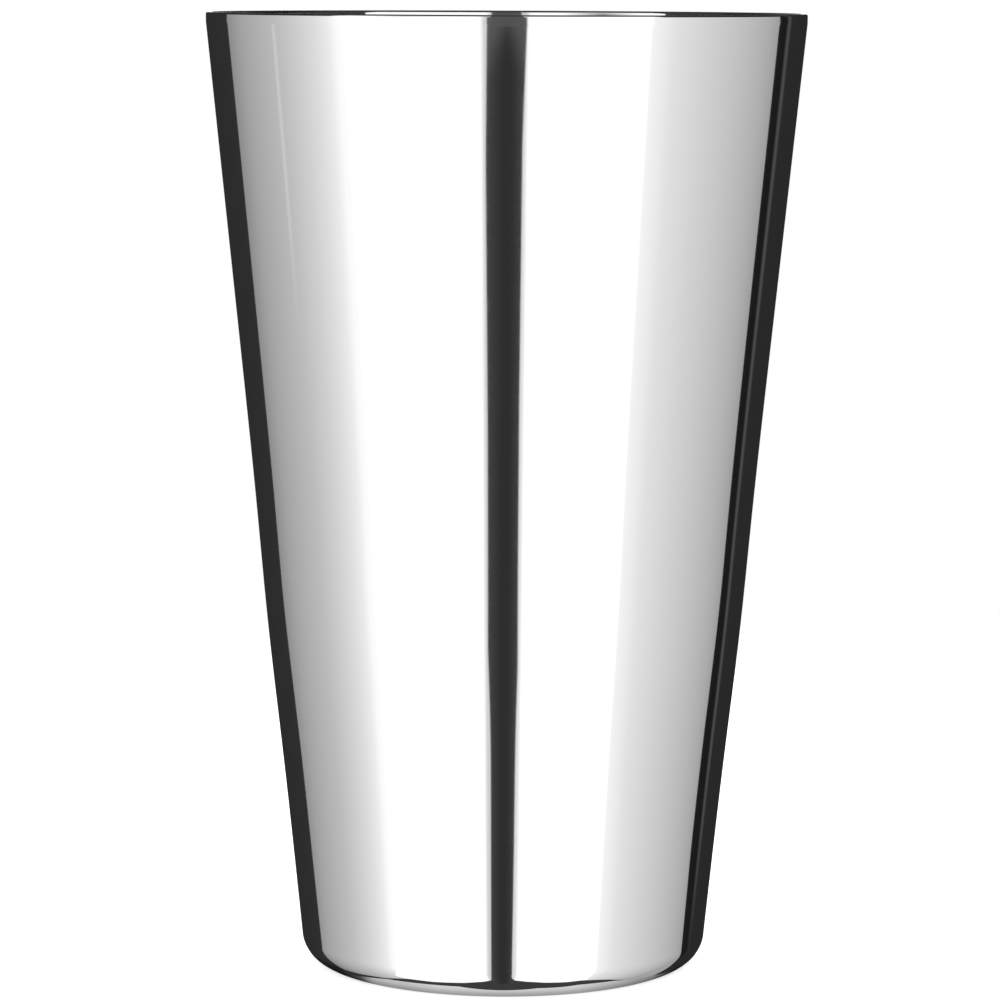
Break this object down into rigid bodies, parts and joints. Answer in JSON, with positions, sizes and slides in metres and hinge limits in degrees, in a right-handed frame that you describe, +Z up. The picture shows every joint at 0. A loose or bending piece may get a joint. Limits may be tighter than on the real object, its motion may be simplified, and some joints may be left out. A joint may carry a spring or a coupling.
{
  "type": "mixing tin",
  "caption": "Tall tapered steel bar cup for stirring drinks, mirror polished outside, with a weighted, rounded base and a straight plain lip.",
  "frame": {"origin": "centre of the underside, on the surface the cup stands on", "axes": "+Z up along the cup's axis, from the base to the mouth; the cup is round, so X and Y are free"},
  "size_m": [0.088, 0.088, 0.141],
  "materials": {
    "polished_steel": "polished",
    "plain_steel": "satin"
  },
  "bodies": {
    "root": {"cup_body": "polished_steel", "base_weight": "plain_steel", "base_cap": "polished_steel"}
  },
  "joints": []
}
